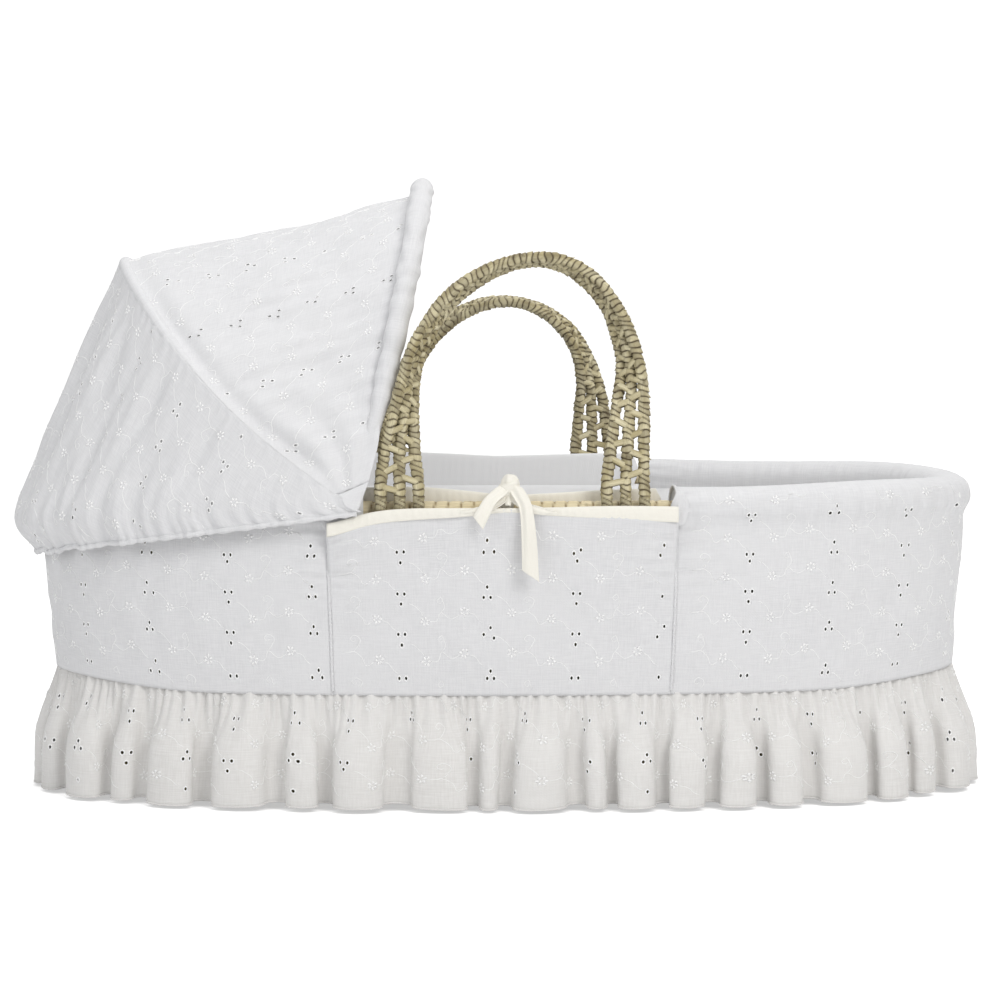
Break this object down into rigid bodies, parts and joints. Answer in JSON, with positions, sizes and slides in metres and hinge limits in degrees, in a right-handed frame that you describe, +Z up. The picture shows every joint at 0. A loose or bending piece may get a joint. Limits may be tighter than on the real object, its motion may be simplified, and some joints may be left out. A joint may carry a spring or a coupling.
{
  "type": "moses basket",
  "caption": "Woven oval baby basket with a folding fabric hood on wire hoops, swinging corded carry handles, padded liner, fitted embroidered cover and a gathered frill.",
  "frame": {"origin": "centre of the underside of the basket's base, on the floor", "axes": "+X towards the foot end, away from the hood; +Y towards the basket's right side, the one with the lower handle; +Z up"},
  "size_m": [0.875, 0.4546, 0.5506],
  "materials": {
    "embroidered_cotton": "matt cotton with eyelets and raised white stitching",
    "frill_cotton": "soft gathered cotton",
    "padded_lining": "matt padded cotton",
    "cream_ribbon": "plain woven tape",
    "palm_leaf": "dry wrapped leaf strips",
    "pale_straw": "coiled straw bound with leaf",
    "base_weave": "woven leaf",
    "plated_wire": "plated spring wire",
    "white_plastic": "moulded, satin",
    "mattress_cover": "fine plain weave",
    "elastic_cord": "covered elastic"
  },
  "bodies": {
    "basket": {"basket_base": "base_weave", "basket_wall": "pale_straw", "cover_foot_panel": "embroidered_cotton", "cover_head_panel": "embroidered_cotton", "cover_left_panel": "embroidered_cotton", "cover_right_panel": "embroidered_cotton", "frill": "frill_cotton", "hood_bracket_left": "white_plastic", "hood_bracket_right": "white_plastic", "hood_hem_elastic": "elastic_cord", "hood_pin_left": "plated_wire", "hood_pin_right": "plated_wire", "left_handle_foot_tail": "palm_leaf", "left_handle_head_tail": "palm_leaf", "left_inner_binding": "cream_ribbon", "left_outer_binding": "cream_ribbon", "left_tie_knot": "cream_ribbon", "left_tie_tail_long": "cream_ribbon", "left_tie_tail_short": "cream_ribbon", "mattress": "mattress_cover", "padded_liner": "padded_lining", "right_handle_foot_tail": "palm_leaf", "right_handle_head_tail": "palm_leaf", "right_inner_binding": "cream_ribbon", "right_outer_binding": "cream_ribbon", "right_tie_knot": "cream_ribbon", "right_tie_tail_long": "cream_ribbon", "right_tie_tail_short": "cream_ribbon", "rim_coil": "pale_straw"},
    "left_handle": {"left_handle_inner_cord": "palm_leaf", "left_handle_middle_cord": "palm_leaf", "left_handle_outer_cord": "palm_leaf"},
    "right_handle": {"right_handle_inner_cord": "palm_leaf", "right_handle_middle_cord": "palm_leaf", "right_handle_outer_cord": "palm_leaf"},
    "hood_rear": {"hood_rear_panel": "embroidered_cotton", "hood_rear_wire": "plated_wire"},
    "hood_front": {"hood_front_panel": "embroidered_cotton", "hood_front_sleeve": "embroidered_cotton", "hood_front_wire": "plated_wire"}
  },
  "joints": [
    {"name": "left_handle_swing", "type": "hinge", "parent": "basket", "child": "left_handle", "pos_m": [0, -0.208, 0.276], "axis": [1, 0, 0], "range_deg": [-52, 122]},
    {"name": "right_handle_swing", "type": "hinge", "parent": "basket", "child": "right_handle", "pos_m": [0, 0.208, 0.276], "axis": [-1, 0, 0], "range_deg": [-62, 112]},
    {"name": "hood_rear_fold", "type": "hinge", "parent": "basket", "child": "hood_rear", "pos_m": [-0.138, 0, 0.268], "axis": [0, -1, 0], "range_deg": [0, 39], "deforming": ["hood_rear_panel"]},
    {"name": "hood_front_fold", "type": "hinge", "parent": "hood_rear", "child": "hood_front", "pos_m": [-0.138, 0, 0.268], "axis": [0, -1, 0], "range_deg": [0, 51.8], "deforming": ["hood_front_panel"]}
  ],
  "couplings": [
    {"joint": "hood_front_fold", "follows": "hood_rear_fold", "ratio": 1.328}
  ]
}
